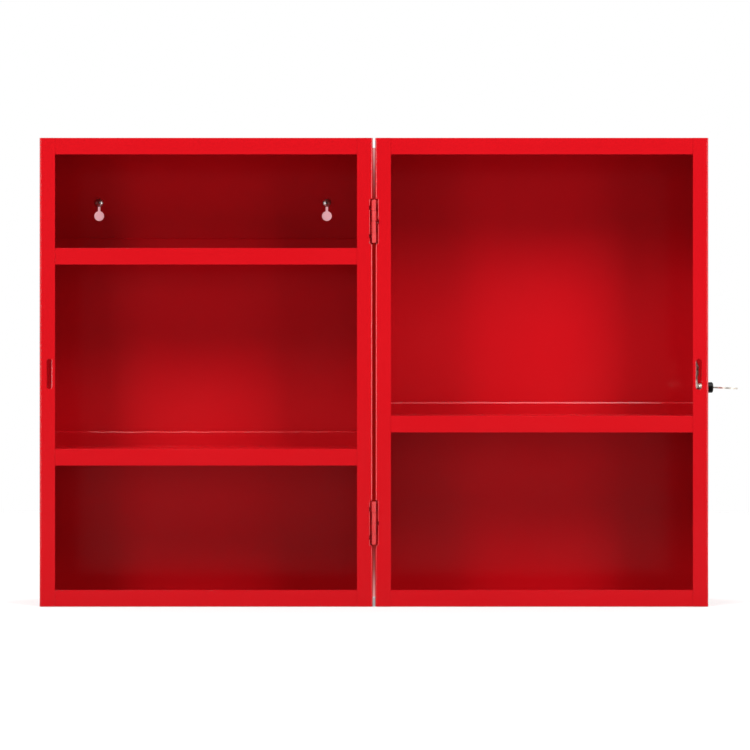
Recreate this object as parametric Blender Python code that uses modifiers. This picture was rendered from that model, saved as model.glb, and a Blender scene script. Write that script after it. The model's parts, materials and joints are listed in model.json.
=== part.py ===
"""Wall cabinet of folded sheet steel, open flat like a book.

Two equally deep trays are joined by two butt hinges. The left tray, the body, hangs on a
wall; the right one is its door, with a cam lock and key in its free side wall.
Frame: X to the right, Y into the wall, Z up; the origin is the centre of the body's rear face.
"""

import bmesh
import bpy
from math import asin, atan2, cos, degrees, pi, radians, remainder, sin, tan
from mathutils import Matrix, Vector

# Each tray
WIDTH = 0.320
HEIGHT = 0.450
DEPTH = 0.095
SHEET = 0.001
FOLD_RADIUS = 0.0018        # outside of a fold
STILE = 0.015               # width of the upright front flanges
RAIL = 0.0158               # height of the front rails and shelf lips
FIT = 0.0003                # between pieces that touch or are welded
CORNER_RELIEF = 0.0020      # a panel stands back this far behind the stiles' faces

# How the trays meet
OPEN_GAP = 0.0025           # between the side walls when the door lies open
CLOSED_GAP = 0.0010         # between the front planes when it is shut
AXIS_X = WIDTH / 2 + OPEN_GAP / 2
AXIS_Y = -DEPTH - CLOSED_GAP / 2
DOOR_X = AXIS_X + OPEN_GAP / 2 + WIDTH / 2

# Shelves: height of the upper face, and of the upstand at the rear
BODY_SHELVES = {"body_upper_shelf": 0.1192, "body_lower_shelf": -0.0738}
BODY_UPSTAND = 0.0153
DOOR_SHELF_Z = -0.0420
DOOR_UPSTAND = 0.0125

# Keyholes and the screws in them
KEYHOLE_X = 0.114
KEYHOLE_Z = 0.1565
KEYHOLE_RADIUS = 0.0050
KEYHOLE_NECK = 0.0032
SCREW_Z = 0.1696
SCREW_SHANK_RADIUS = 0.00125
SCREW_HEAD_RADIUS = 0.0040
SCREW_HEAD_HEIGHT = 0.0024

# Hinges: offsets are sideways distances from the hinge axis
HINGE_HEIGHTS = {"upper": 0.1448, "lower": -0.1448}
HINGE_LENGTH = 0.0415
KNUCKLES = 4
KNUCKLE_GAP = 0.0003
BARREL_RADIUS = 0.0021
BORE_RADIUS = 0.0011
PIN_RADIUS = 0.0009
LEAF_NEAR = 0.00155
LEAF_FAR = 0.00275
LEAF_DEPTH = 0.0130
ROOT_NEAR = 0.0006          # the curl that joins a knuckle to its leaf
ROOT_FAR = 0.00255
ROOT_DEPTH = 0.0020
KNUCKLE_CLEARANCE = 0.0026  # a leaf stays this far behind the other leaf's knuckles
RECESS_DEPTH = 0.0018
RECESS_MARGIN = 0.00045
RIVET_DEPTH = 0.0075        # behind the hinge axis
RIVET_SHANK_RADIUS = 0.0012
RIVET_HOLE_RADIUS = 0.0015
RIVET_HEAD_RADIUS = 0.0020
RIVET_HEAD_HEIGHT = 0.0008
RIVET_SET_HEIGHT = 0.0007   # of the head that is set inside the wall
RIVET_SET_BEVEL = 0.0004
RIVET_REACH = 0.0060        # a rivet hole's cutter, from the hinge axis or the wall's face
BODY_RIVETS = {"top": 0.0131, "bottom": -0.0143}
DOOR_RIVETS = {"": -0.0004}

# Lock in the door's free side wall
LOCK_Y = -DEPTH + 0.015
LOCK_Z = -0.0147
HEAD_RADIUS = 0.0052
HEAD_LENGTH = 0.0062
HEAD_EDGE_RADIUS = 0.0012
BARREL_HOLE_RADIUS = 0.0044
LOCK_BARREL_RADIUS = 0.0041
LOCK_BARREL_LENGTH = 0.0070  # inside the wall
PLUG_BORE_RADIUS = 0.0034
PLUG_RADIUS = 0.0031
PLUG_RECESS = 0.0006
NUT_RADIUS = 0.0075          # over its corners
NUT_THICKNESS = 0.0028
CAM_INSET = 0.0094           # cam centre plane to the wall's outer face
CAM_THICKNESS = 0.0020
CAM_HUB_RADIUS = 0.0048
CAM_HUB_OPENING = 12         # degrees of the hub's arc left to the arm's front shoulder
CAM_LENGTH = 0.0270
CAM_FRONT = 0.0010           # arm's front edge ahead of the lock axis
CAM_BACK = 0.0048            # arm's rear edge behind it
NOSE_REACH = 0.0060
NOSE_START = 0.0178          # hook's catching face above the lock axis
NOSE_BEVEL = 0.0012
CAM_TIP_REAR_BEVEL = 0.0040
CAM_TIP_FRONT_BEVEL = 0.0035
CAM_SHOULDER = 0.0010        # from the hub to the start of the arm's front edge
DRIVE_HALF = 0.0019          # half the square that turns the cam
CAM_SCREW_RADIUS = 0.0010
CAM_SCREW_BORE = 0.0013
CAM_SCREW_HEAD = 0.0028
CAM_SCREW_HEAD_HEIGHT = 0.0016
CAM_SCREW_LENGTH = 0.0036
TAPPED_DEPTH = 0.0015        # of the screw's hole in the plug, past the square
WASHER_RADIUS = 0.0038
WASHER_THICKNESS = 0.0006
SLOT_INSET = 0.0094          # slot centre line to the side wall's outer face
CAM_SLOT = (0.0058, 0.0300, -0.0020)     # width, height, centre height
STRIKE_SLOT = (0.0048, 0.0290, -0.0016)

# Key
KEY_THICKNESS = 0.0016
KEY_BLADE_WIDTH = 0.0046
KEY_BLADE_LENGTH = 0.0105
KEY_TIP_BEVEL = (0.0015, 0.0010)         # across and along the blade
KEY_CUTS = (0.0006, 0.0014, 0.0003, 0.0011, 0.0018, 0.0004)
KEY_CUT_FLAT = 0.4           # flat bottom of a cut, in cuts
KEYWAY = (0.0022, 0.0052, 0.0115)        # thickness, width, depth
KEY_NECK_LENGTH = 0.0038
KEY_NECK_WIDTH = 0.0072
BOW_WIDTH = 0.0200
BOW_LENGTH = 0.0200
BOW_HOLE_RADIUS = 0.0030
BOW_HOLE_OFFSET = 0.2        # of the bow's length, outward from its middle
BOW_OPENING = 62             # degrees each side of the neck's line where the bow's arc starts

SIDES = 24                   # facets of a round piece
SMALL_SIDES = 16
EPS = 0.0010                 # a cutter runs this far past what it cuts


def clear_scene():
    for item in list(bpy.data.objects):
        bpy.data.objects.remove(item, do_unlink=True)


def new_collection(name):
    collection = bpy.data.collections.new(name)
    bpy.context.scene.collection.children.link(collection)
    return collection


def new_material(name, colour, roughness, metallic):
    material = bpy.data.materials.new(name)
    material.use_nodes = True
    shader = material.node_tree.nodes["Principled BSDF"]
    shader.inputs["Base Color"].default_value = (*colour, 1.0)
    shader.inputs["Roughness"].default_value = roughness
    shader.inputs["Metallic"].default_value = metallic
    material.diffuse_color = (*colour, 1.0)
    return material


clear_scene()
PARTS = new_collection("wall_cabinet")
CUTTERS = new_collection("cutters")
RED = new_material("red_powder_coat", (0.72, 0.008, 0.016), 0.38, 0.0)
BLACK = new_material("black_lock_head", (0.012, 0.012, 0.012), 0.35, 0.0)
STEEL = new_material("bright_steel", (0.62, 0.60, 0.57), 0.28, 1.0)


# ---------------------------------------------------------------- placing

def empty(name, location, parent=None):
    pivot = bpy.data.objects.new(name, None)
    pivot.location = location
    pivot.parent = parent
    PARTS.objects.link(pivot)
    return pivot


def place(item, parent, offset):
    """Hang an object, and every cutter on it, on a pivot at an offset."""
    item.parent = parent
    item.location = offset
    for modifier in item.modifiers:
        if modifier.type == "BOOLEAN":
            modifier.object.parent = parent
            modifier.object.location = offset
    return item


def add_object(name, mesh, material):
    """A piece when it has a material, otherwise a cutter."""
    item = bpy.data.objects.new(name, mesh)
    if material:
        mesh.materials.append(material)
        PARTS.objects.link(item)
    else:
        CUTTERS.objects.link(item)
        item.hide_render = True
        item.display_type = "WIRE"
    return item


def mesh_from(bm, name):
    mesh = bpy.data.meshes.new(name)
    bm.to_mesh(mesh)
    bm.free()
    return mesh


# ---------------------------------------------------------------- basic shapes

def box(name, low, high, material=None):
    """Box between two opposite corners, given in any order."""
    low, high = Vector(low), Vector(high)
    size = [abs(b - a) for a, b in zip(low, high)]
    bm = bmesh.new()
    span = Matrix.Translation((low + high) / 2) @ Matrix.Diagonal((*size, 1.0))
    bmesh.ops.create_cube(bm, size=1.0, matrix=span)
    return add_object(name, mesh_from(bm, name), material)


def rod(name, start, end, radius, material=None, sides=SIDES):
    """Cylinder between two points."""
    start, end = Vector(start), Vector(end)
    along = end - start
    turn = along.to_track_quat("Z", "Y").to_matrix().to_4x4()
    bm = bmesh.new()
    bmesh.ops.create_cone(bm, cap_ends=True, segments=sides, radius1=radius, radius2=radius,
                          depth=along.length, matrix=Matrix.Translation((start + end) / 2) @ turn)
    return add_object(name, mesh_from(bm, name), material)


def rounded_path(corners, radius, steps=4):
    """Open path through 2D corners, with an arc in place of each inner corner."""
    path = [Vector(corners[0])]
    for before, corner, after in zip(corners, corners[1:], corners[2:]):
        corner = Vector(corner)
        back = (Vector(before) - corner).normalized()
        ahead = (Vector(after) - corner).normalized()
        half = back.angle(ahead) / 2
        centre = corner + (back + ahead).normalized() * (radius / sin(half))
        start = corner + back * (radius / tan(half)) - centre
        end = corner + ahead * (radius / tan(half)) - centre
        first = atan2(start.y, start.x)
        sweep = remainder(atan2(end.y, end.x) - first, 2 * pi)
        angles = [first + sweep * i / steps for i in range(steps + 1)]
        path += [centre + radius * Vector((cos(a), sin(a))) for a in angles]
    return path + [Vector(corners[-1])]


def folded_sheet(name, corners, to_space, sweep):
    """Sheet folded along the middle line `corners`, swept straight along `sweep`."""
    bm = bmesh.new()
    line = [bm.verts.new(to_space(*point)) for point in rounded_path(corners, FOLD_RADIUS - SHEET / 2)]
    edges = [bm.edges.new(pair) for pair in zip(line, line[1:])]
    grown = bmesh.ops.extrude_edge_only(bm, edges=edges)["geom"]
    bmesh.ops.translate(bm, vec=sweep, verts=[v for v in grown if isinstance(v, bmesh.types.BMVert)])
    item = add_object(name, mesh_from(bm, name), RED)
    solidify = item.modifiers.new("sheet", "SOLIDIFY")
    solidify.thickness = SHEET
    solidify.offset = 0.0
    solidify.use_even_offset = True
    return item


def flat_shape(name, outline, thickness, material=None, holes=()):
    """Flat plate in its own XY plane, centred on it, with the given outline and holes."""
    curve = bpy.data.curves.new(name, "CURVE")
    curve.dimensions = "2D"
    curve.fill_mode = "BOTH"
    curve.extrude = thickness / 2
    for loop in (outline, *holes):
        spline = curve.splines.new("POLY")
        spline.points.add(len(loop) - 1)
        spline.use_cyclic_u = True
        for point, (x, y) in zip(spline.points, loop):
            point.co = (x, y, 0.0, 1.0)
    source = bpy.data.objects.new(name + "_outline", curve)
    CUTTERS.objects.link(source)
    evaluated = source.evaluated_get(bpy.context.evaluated_depsgraph_get())
    mesh = bpy.data.meshes.new_from_object(evaluated)
    bpy.data.objects.remove(source, do_unlink=True)
    bm = bmesh.new()
    bm.from_mesh(mesh)
    bmesh.ops.remove_doubles(bm, verts=bm.verts, dist=1e-6)
    bmesh.ops.recalc_face_normals(bm, faces=bm.faces)
    bm.to_mesh(mesh)
    bm.free()
    mesh.materials.clear()
    mesh.name = name
    return add_object(name, mesh, material)


def arc(centre, radius, start, end, steps):
    """Points on an arc; angles in degrees."""
    angles = [radians(start + (end - start) * i / steps) for i in range(steps + 1)]
    return [(centre[0] + radius * cos(a), centre[1] + radius * sin(a)) for a in angles]


def circle(centre, radius, sides=SIDES):
    return arc(centre, radius, 0, 360 - 360 / sides, sides - 1)


def stadium(width, height, steps=8):
    """Upright slot outline with round ends, centred on the origin."""
    rise = (height - width) / 2
    return arc((0, rise), width / 2, 0, 180, steps) + arc((0, -rise), width / 2, 180, 360, steps)


def turned(name, profile, material, sides=SIDES):
    """Round piece about its own Z axis; the profile's (radius, height) points run top to bottom."""
    bm = bmesh.new()
    line = [bm.verts.new((radius, 0.0, height)) for radius, height in profile]
    for pair in zip(line, line[1:]):
        bm.edges.new(pair)
    item = add_object(name, mesh_from(bm, name), material)
    screw = item.modifiers.new("turned", "SCREW")
    screw.steps = sides
    screw.render_steps = sides
    screw.use_merge_vertices = True
    screw.merge_threshold = 1e-6
    screw.use_smooth_shade = False
    return item


def dome(radius, height, base, steps=5):
    """Profile of a domed head, from its pole down to its rim at `base`."""
    angles = [pi / 2 * i / steps for i in range(steps + 1)]
    return [(radius * sin(a), base + height * cos(a)) for a in angles]


def combine(item, operation, *tools):
    for tool in tools:
        modifier = item.modifiers.new(tool.name, "BOOLEAN")
        modifier.operation = operation
        modifier.object = tool
        modifier.solver = "EXACT"
    return item


def stand_on_wall(item):
    """Turn a flat shape or a turned piece so that its own Z points out of the back, to -Y."""
    item.data.transform(Matrix.Rotation(pi / 2, 4, "X"))
    return item


# ---------------------------------------------------------------- trays

def hinge_recess_tools(name, side, height):
    """Inner patch and outer pocket that joggle a side wall in behind a hinge leaf."""
    outer = side * WIDTH / 2
    half = HINGE_LENGTH / 2 + RECESS_MARGIN
    rear = -DEPTH + LEAF_DEPTH + RECESS_MARGIN
    patch = box(name + "_patch",
                (outer - side * SHEET / 2, -DEPTH + SHEET / 2, height - half - SHEET),
                (outer - side * (RECESS_DEPTH + SHEET), rear + SHEET, height + half + SHEET))
    pocket = box(name + "_pocket",
                 (outer + side * EPS, -DEPTH - EPS, height - half),
                 (outer - side * RECESS_DEPTH, rear, height + half))
    return patch, pocket


def rivet_hole(name, side, height):
    outer = side * WIDTH / 2
    y = AXIS_Y + RIVET_DEPTH
    return rod(name, (outer + side * EPS, y, height), (outer - side * RIVET_REACH, y, height),
               RIVET_HOLE_RADIUS, sides=SMALL_SIDES)


def mantle(name, side, rivets):
    """Back, side walls and stiles of a tray in one folded sheet; `side` is where the hinges are."""
    x = WIDTH / 2 - SHEET / 2
    inner = WIDTH / 2 - STILE
    front, back = -DEPTH + SHEET / 2, -SHEET / 2
    corners = [(-inner, front), (-x, front), (-x, back), (x, back), (x, front), (inner, front)]
    item = folded_sheet(name, corners, lambda a, b: (a, b, -HEIGHT / 2), (0, 0, HEIGHT))
    for label, height in HINGE_HEIGHTS.items():
        patch, pocket = hinge_recess_tools(f"{name}_{label}_recess", side, height)
        combine(item, "UNION", patch)
        combine(item, "DIFFERENCE", pocket)
        for place_name, offset in rivets.items():
            hole = rivet_hole(f"{name}_{label}_rivet_hole_{place_name}", side, height + offset)
            combine(item, "DIFFERENCE", hole)
    return item


def keyhole_tools():
    """Round hole and neck of each keyhole in the back."""
    tools = []
    for x in (-KEYHOLE_X, KEYHOLE_X):
        neck = KEYHOLE_NECK / 2
        outline = arc((x, SCREW_Z), neck, 0, 180, 8)
        opening = degrees(asin(neck / KEYHOLE_RADIUS))
        outline += arc((x, KEYHOLE_Z), KEYHOLE_RADIUS, 90 + opening, 450 - opening, SIDES)
        tools.append(stand_on_wall(flat_shape(f"keyhole_{len(tools)}", outline, 4 * SHEET)))
    return tools


def stile_slot(name, side, size):
    """Upright slot through the stile on one side of a tray."""
    width, height, z = size
    tool = stand_on_wall(flat_shape(name, stadium(width, height), 4 * SHEET))
    tool.data.transform(Matrix.Translation((side * (WIDTH / 2 - SLOT_INSET), -DEPTH, z)))
    return tool


def corner_reliefs(name, z_low, z_high):
    """Boxes that stand a panel's front corners back behind the stiles."""
    tools = []
    for side in (-1, 1):
        tools.append(box(f"{name}_relief_{'left' if side < 0 else 'right'}",
                         (side * (WIDTH / 2 - STILE - FIT), -DEPTH - EPS, z_low - EPS),
                         (side * (WIDTH / 2 + EPS), -DEPTH + CORNER_RELIEF, z_high + EPS)))
    return tools


def cross_panel(name, corners):
    """Folded panel between the side walls, its front fold between the stiles."""
    width = WIDTH - 2 * (SHEET + FIT)
    item = folded_sheet(name, corners, lambda y, z: (-width / 2, y, z), (width, 0, 0))
    heights = [z for _, z in corners]
    return combine(item, "DIFFERENCE", *corner_reliefs(name, min(heights), max(heights)))


def end_panel(name, up):
    """Top (up = 1) or bottom (up = -1) of a tray: a panel and its front rail."""
    plane = up * (HEIGHT / 2 - SHEET / 2)
    front = -DEPTH + SHEET / 2
    return cross_panel(name, [(front, up * (HEIGHT / 2 - RAIL)), (front, plane), (-SHEET - FIT, plane)])


def shelf(name, top, upstand):
    """Shelf with a lip turned down at the front and an upstand at the rear."""
    front, back, plane = -DEPTH + SHEET / 2, -SHEET * 1.5 - FIT, top - SHEET / 2
    return cross_panel(name, [(front, top - RAIL), (front, plane), (back, plane), (back, plane + upstand)])


def wall_screw(name, x):
    """Domed screw that the body hangs on; the thread in the wall isn't part of the cabinet."""
    under_head = SHEET + FIT
    profile = dome(SCREW_HEAD_RADIUS, SCREW_HEAD_HEIGHT, under_head)
    profile += [(SCREW_SHANK_RADIUS, under_head), (SCREW_SHANK_RADIUS, FIT), (0.0, FIT)]
    item = turned(name, profile, STEEL)
    item.rotation_euler = (pi / 2, 0, 0)
    item.location = (x, 0, SCREW_Z)
    return item


# ---------------------------------------------------------------- hinges

def knuckle_span(index):
    """Lower and upper end of a knuckle, counted from the top of the hinge."""
    pitch = HINGE_LENGTH / KNUCKLES
    top = HINGE_LENGTH / 2 - index * pitch
    return top - pitch + KNUCKLE_GAP / 2, top - KNUCKLE_GAP / 2


def hinge_leaf(name, side, own_knuckles, rivets):
    """Leaf with its knuckles about its own Z axis; `side` -1 lies on the body, 1 on the door."""
    half = HINGE_LENGTH / 2
    leaf = box(name, (side * LEAF_NEAR, 0, -half), (side * LEAF_FAR, LEAF_DEPTH, half), RED)
    for index in range(KNUCKLES):
        low, high = knuckle_span(index)
        label = f"{name}_knuckle_{index + 1}"
        if index in own_knuckles:
            curl = box(label + "_root", (side * ROOT_NEAR, 0, low), (side * ROOT_FAR, ROOT_DEPTH, high))
            combine(leaf, "UNION", curl, rod(label, (0, 0, low), (0, 0, high), BARREL_RADIUS))
        else:
            room = box(label + "_room", (side * -LEAF_FAR, -EPS, low - KNUCKLE_GAP),
                       (side * (LEAF_FAR + EPS), KNUCKLE_CLEARANCE, high + KNUCKLE_GAP))
            combine(leaf, "DIFFERENCE", room)
    end = half + EPS
    bore = rod(name + "_bore", (0, 0, -end), (0, 0, end), BORE_RADIUS, sides=SMALL_SIDES)
    combine(leaf, "DIFFERENCE", bore)
    for label, height in rivets.items():
        hole = rod(f"{name}_rivet_hole_{label}", (0, RIVET_DEPTH, height),
                   (side * RIVET_REACH, RIVET_DEPTH, height), RIVET_HOLE_RADIUS, sides=SMALL_SIDES)
        combine(leaf, "DIFFERENCE", hole)
    return leaf


def hinge_pin(name):
    half = HINGE_LENGTH / 2
    return rod(name, (0, 0, -half), (0, 0, half), PIN_RADIUS, STEEL, sides=SMALL_SIDES)


def rivet(name, side):
    """Rivet through a leaf and the recess floor; domed head between the leaves, set head inside."""
    inside = OPEN_GAP / 2 + RECESS_DEPTH + SHEET + FIT
    head = LEAF_NEAR - FIT
    end = -inside - RIVET_SET_HEIGHT
    profile = dome(RIVET_HEAD_RADIUS, RIVET_HEAD_HEIGHT, -head)
    profile += [(RIVET_SHANK_RADIUS, -head), (RIVET_SHANK_RADIUS, -inside), (RIVET_HEAD_RADIUS, -inside),
                (RIVET_HEAD_RADIUS - RIVET_SET_BEVEL, end), (0.0, end)]
    item = turned(name, profile, RED, sides=SMALL_SIDES)
    item.rotation_euler = (0, -side * pi / 2, 0)
    return item


def hinge(label, height, door_pivot):
    """Both leaves, the pin and the rivets of one hinge."""
    at_body = Vector((AXIS_X, AXIS_Y, height))
    at_door = Vector((0, 0, height))
    place(hinge_leaf(f"{label}_hinge_body_leaf", -1, (0, 2), BODY_RIVETS), None, at_body)
    place(hinge_leaf(f"{label}_hinge_door_leaf", 1, (1, 3), DOOR_RIVETS), door_pivot, at_door)
    place(hinge_pin(f"{label}_hinge_pin"), None, at_body)
    for name, offset in BODY_RIVETS.items():
        spot = at_body + Vector((0, RIVET_DEPTH, offset))
        place(rivet(f"{label}_hinge_body_rivet_{name}", -1), None, spot)
    for offset in DOOR_RIVETS.values():
        spot = at_door + Vector((0, RIVET_DEPTH, offset))
        place(rivet(f"{label}_hinge_door_rivet", 1), door_pivot, spot)


# ---------------------------------------------------------------- lock
# Lock pieces are made about the lock axis, with X = 0 at the wall's outer face and X out of the wall.

def lock_housing():
    """Black head outside and barrel through the wall, bored for the plug."""
    edge = HEAD_EDGE_RADIUS
    inner = -SHEET - LOCK_BARREL_LENGTH
    rim = arc((HEAD_RADIUS - edge, HEAD_LENGTH - edge), edge, 90, 0, 4)
    profile = rim + [(HEAD_RADIUS, FIT), (LOCK_BARREL_RADIUS, FIT), (LOCK_BARREL_RADIUS, inner),
                     (PLUG_BORE_RADIUS, inner), (PLUG_BORE_RADIUS, HEAD_LENGTH), rim[0]]
    return turned("lock_housing", profile, BLACK)


def lock_nut():
    """Six-sided nut clamped on the barrel against the wall."""
    hexagon = circle((0, 0), NUT_RADIUS, 6)
    bore = circle((0, 0), LOCK_BARREL_RADIUS + FIT)
    nut = flat_shape("lock_nut", hexagon, NUT_THICKNESS, STEEL, holes=[bore])
    nut.data.transform(Matrix.Translation((0, 0, -SHEET - FIT - NUT_THICKNESS / 2)))
    return nut


def lock_plug():
    """Core that the key turns, with a square end for the cam and a keyway."""
    inner = -SHEET - LOCK_BARREL_LENGTH
    cam_inner = -CAM_INSET - CAM_THICKNESS / 2
    top = HEAD_LENGTH - PLUG_RECESS
    thickness, width, depth = KEYWAY
    plug = rod("lock_plug", (0, 0, inner), (0, 0, top), PLUG_RADIUS, STEEL)
    drive = box("plug_drive", (-DRIVE_HALF, -DRIVE_HALF, cam_inner + FIT),
                (DRIVE_HALF, DRIVE_HALF, inner + EPS))
    tap = rod("plug_tapped_hole", (0, 0, cam_inner - EPS), (0, 0, inner + TAPPED_DEPTH),
              CAM_SCREW_BORE, sides=SMALL_SIDES)
    keyway = box("plug_keyway", (-thickness / 2, -width / 2, top - depth),
                 (thickness / 2, width / 2, top + EPS))
    return combine(combine(plug, "UNION", drive), "DIFFERENCE", tap, keyway)


def lock_cam():
    """Hooked arm that swings out through the stile's slot; local X is up and local Y is the front."""
    tip, rear, front = CAM_LENGTH, CAM_TIP_REAR_BEVEL, CAM_TIP_FRONT_BEVEL
    outline = arc((0, 0), CAM_HUB_RADIUS, 90 + CAM_HUB_OPENING, 270, 12)
    outline += [(NOSE_START, -CAM_BACK), (tip - rear, -CAM_BACK), (tip, -CAM_BACK + rear),
                (tip, NOSE_REACH - front), (tip - front, NOSE_REACH), (NOSE_START + NOSE_BEVEL, NOSE_REACH),
                (NOSE_START, NOSE_REACH - NOSE_BEVEL), (NOSE_START, CAM_FRONT),
                (CAM_HUB_RADIUS + CAM_SHOULDER, CAM_FRONT)]
    square = DRIVE_HALF + FIT
    drive = [(-square, -square), (square, -square), (square, square), (-square, square)]
    cam = flat_shape("lock_cam", outline, CAM_THICKNESS, STEEL, holes=[drive])
    cam.data.transform(Matrix.Translation((0, 0, -CAM_INSET)))
    return cam


def cam_fastener():
    """Washer and screw that hold the cam on the plug's square end."""
    face = -CAM_INSET - CAM_THICKNESS / 2 - FIT
    washer = flat_shape("cam_washer", circle((0, 0), WASHER_RADIUS), WASHER_THICKNESS, STEEL,
                        holes=[circle((0, 0), CAM_SCREW_RADIUS + FIT, 16)])
    washer.data.transform(Matrix.Translation((0, 0, face - WASHER_THICKNESS / 2)))
    head = face - WASHER_THICKNESS - FIT
    end = head + CAM_SCREW_LENGTH
    crown = dome(CAM_SCREW_HEAD, -CAM_SCREW_HEAD_HEIGHT, head)
    profile = [(0.0, end), (CAM_SCREW_RADIUS, end), (CAM_SCREW_RADIUS, head), *reversed(crown)]
    return washer, turned("cam_screw", profile, STEEL)


def key():
    """Flat key: toothed blade in the plug, shoulder and round bow; local X is width, Y is out."""
    blade, neck, length = KEY_BLADE_WIDTH / 2, KEY_NECK_WIDTH / 2, KEY_BLADE_LENGTH
    pitch = length / (len(KEY_CUTS) + 1)
    across, along = KEY_TIP_BEVEL
    outline = [(-blade, 0.0), (-blade, along - length), (across - blade, -length)]
    for number, cut in enumerate(KEY_CUTS, start=1):
        middle = pitch * number - length
        half = pitch * KEY_CUT_FLAT / 2
        outline += [(blade - cut, middle - half), (blade - cut, middle + half)]
    outline += [(blade, 0.0), (neck, 0.0), (neck, KEY_NECK_LENGTH)]
    middle = KEY_NECK_LENGTH + BOW_LENGTH / 2
    outline += arc((0, middle), BOW_WIDTH / 2, -BOW_OPENING, 180 + BOW_OPENING, 28)
    outline += [(-neck, KEY_NECK_LENGTH), (-neck, 0.0)]
    hole = circle((0, middle + BOW_LENGTH * BOW_HOLE_OFFSET), BOW_HOLE_RADIUS)
    return flat_shape("key", outline, KEY_THICKNESS, STEEL, holes=[hole])


def lock(door_pivot):
    """All lock pieces on pivots at the lock axis."""
    side_face = WIDTH + OPEN_GAP / 2
    at_lock = (side_face, LOCK_Y - AXIS_Y, LOCK_Z)
    lock_pivot = empty("lock_axis", at_lock, door_pivot)
    outward = Matrix(((0, 0, 1, 0), (0, -1, 0, 0), (1, 0, 0, 0), (0, 0, 0, 1)))
    for item in (lock_housing(), lock_plug(), lock_nut(), lock_cam(), *cam_fastener()):
        for thing in (item, *(m.object for m in item.modifiers if m.type == "BOOLEAN")):
            thing.parent = lock_pivot
            thing.matrix_local = outward
    flat = key()
    flat.parent = lock_pivot
    flat.matrix_local = Matrix(((0, 1, 0, HEAD_LENGTH + FIT), (1, 0, 0, 0), (0, 0, -1, 0), (0, 0, 0, 1)))


# ---------------------------------------------------------------- the cabinet

def build():
    body = combine(mantle("body_mantle", 1, BODY_RIVETS), "DIFFERENCE",
                   *keyhole_tools(), stile_slot("strike_slot", -1, STRIKE_SLOT))
    place(body, None, (0, 0, 0))
    end_panel("body_top", 1)
    end_panel("body_bottom", -1)
    for name, top in BODY_SHELVES.items():
        shelf(name, top, BODY_UPSTAND)
    for name, x in (("wall_screw_left", -KEYHOLE_X), ("wall_screw_right", KEYHOLE_X)):
        wall_screw(name, x)

    door_pivot = empty("door_axis", (AXIS_X, AXIS_Y, 0))
    offset = Vector((DOOR_X - AXIS_X, -AXIS_Y, 0))
    wall = WIDTH / 2
    lock_hole = rod("lock_hole", (wall - 3 * SHEET, LOCK_Y, LOCK_Z), (wall + EPS, LOCK_Y, LOCK_Z),
                    BARREL_HOLE_RADIUS)
    door = combine(mantle("door_mantle", -1, DOOR_RIVETS), "DIFFERENCE",
                   lock_hole, stile_slot("cam_slot", 1, CAM_SLOT))
    for item in (door, end_panel("door_top", 1), end_panel("door_bottom", -1),
                 shelf("door_shelf", DOOR_SHELF_Z, DOOR_UPSTAND)):
        place(item, door_pivot, offset)
    for label, height in HINGE_HEIGHTS.items():
        hinge(label, height, door_pivot)
    lock(door_pivot)


build()
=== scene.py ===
"""Looks of the red sheet-steel wall cabinet, open flat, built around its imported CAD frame.

Frame: X to the right across both trays, Y into the wall, Z up, metres.
"""
import json
from math import asin, atan2, cos, degrees, pi, radians, remainder, sin, tan

import bmesh
import bpy
from mathutils import Matrix, Vector, noise


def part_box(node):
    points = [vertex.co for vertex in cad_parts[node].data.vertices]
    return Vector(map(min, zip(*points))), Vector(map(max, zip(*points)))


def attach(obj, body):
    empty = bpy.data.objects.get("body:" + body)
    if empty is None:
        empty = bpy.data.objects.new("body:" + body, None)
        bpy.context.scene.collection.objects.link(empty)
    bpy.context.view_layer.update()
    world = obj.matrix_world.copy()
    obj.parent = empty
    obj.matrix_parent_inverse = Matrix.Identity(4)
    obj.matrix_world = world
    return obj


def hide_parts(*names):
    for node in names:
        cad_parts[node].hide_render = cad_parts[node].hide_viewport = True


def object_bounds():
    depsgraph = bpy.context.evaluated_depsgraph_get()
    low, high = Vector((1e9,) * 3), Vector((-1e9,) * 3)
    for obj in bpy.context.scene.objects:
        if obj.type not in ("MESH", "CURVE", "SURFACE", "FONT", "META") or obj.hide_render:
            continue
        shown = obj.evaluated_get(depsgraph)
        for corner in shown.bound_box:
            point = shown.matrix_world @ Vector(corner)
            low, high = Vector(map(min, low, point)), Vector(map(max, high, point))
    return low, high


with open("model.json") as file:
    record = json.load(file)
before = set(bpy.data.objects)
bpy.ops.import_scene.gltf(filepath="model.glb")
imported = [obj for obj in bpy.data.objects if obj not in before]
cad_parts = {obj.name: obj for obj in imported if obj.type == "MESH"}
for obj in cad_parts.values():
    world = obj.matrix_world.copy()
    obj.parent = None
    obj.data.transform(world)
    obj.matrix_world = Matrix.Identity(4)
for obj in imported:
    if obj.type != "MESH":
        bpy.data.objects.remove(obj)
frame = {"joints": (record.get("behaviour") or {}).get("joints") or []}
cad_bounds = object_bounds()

# ---------------------------------------------------------------- sizes read from the frame

BODY_LOW, BODY_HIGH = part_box("body_mantle")
DOOR_LOW, DOOR_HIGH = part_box("door_mantle")
WIDTH = BODY_HIGH.x - BODY_LOW.x
DEPTH = BODY_HIGH.y - BODY_LOW.y
HEIGHT = BODY_HIGH.z - BODY_LOW.z
FRONT = BODY_LOW.y
BODY_X = (BODY_LOW.x + BODY_HIGH.x) / 2
DOOR_X = (DOOR_LOW.x + DOOR_HIGH.x) / 2
JOINTS = {joint["name"]: joint for joint in frame["joints"]}
HINGE_AXIS = Vector(JOINTS["door_hinge"]["pos_m"])
LOCK_AXIS = Vector(JOINTS["lock_turn"]["pos_m"])


def middle(node):
    low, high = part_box(node)
    return (low + high) / 2


def length_z(node):
    low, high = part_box(node)
    return high.z - low.z


# ---------------------------------------------------------------- sheet-metal sizes

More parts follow.
